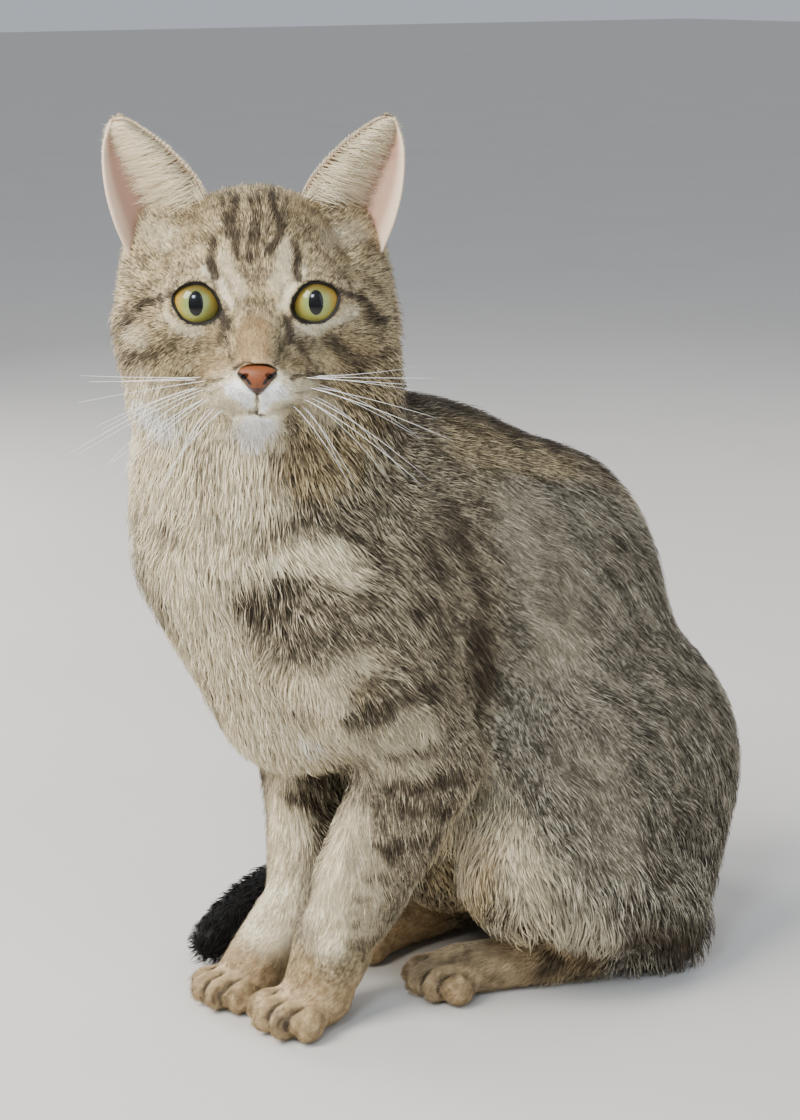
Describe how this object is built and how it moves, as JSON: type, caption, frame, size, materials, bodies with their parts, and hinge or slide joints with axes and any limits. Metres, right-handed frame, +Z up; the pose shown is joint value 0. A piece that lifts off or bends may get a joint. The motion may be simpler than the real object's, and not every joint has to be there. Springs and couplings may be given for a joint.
{
  "type": "seated tabby cat",
  "caption": "Life-size still model of a small tabby cat sitting upright, head turned to its left, tail laid round its right side.",
  "frame": {"origin": "on the floor, under the middle of the whole model's box", "axes": "+Z up, -Y the way the chest faces, +X the cat's left side; the head is turned about 55 degrees to the cat's left"},
  "size_m": [0.1968, 0.3374, 0.3559],
  "materials": {
    "grey_brown_fur": "soft matt fur, ticked grey-brown with dark stripes",
    "pale_fur": "short matt fur, warm beige",
    "black_fur": "soft matt black fur",
    "white_fur": "very short white fur",
    "nose_leather": "fine-grained bare skin, brick orange",
    "yellow_green_eye": "wet clear eye, yellow-green"
  },
  "bodies": {
    "root": {"head": "grey_brown_fur", "muzzle": "white_fur", "nose": "nose_leather", "ear_left": "grey_brown_fur", "ear_right": "grey_brown_fur", "eye_left": "yellow_green_eye", "eye_right": "yellow_green_eye", "neck": "grey_brown_fur", "torso": "grey_brown_fur", "foreleg_left": "grey_brown_fur", "foreleg_right": "grey_brown_fur", "forepaw_left": "pale_fur", "forepaw_right": "pale_fur", "hindleg_left": "grey_brown_fur", "hindleg_right": "grey_brown_fur", "hindpaw_left": "pale_fur", "hindpaw_right": "pale_fur", "tail_root": "grey_brown_fur", "tail_middle": "grey_brown_fur", "tail_tip": "black_fur"}
  },
  "joints": []
}
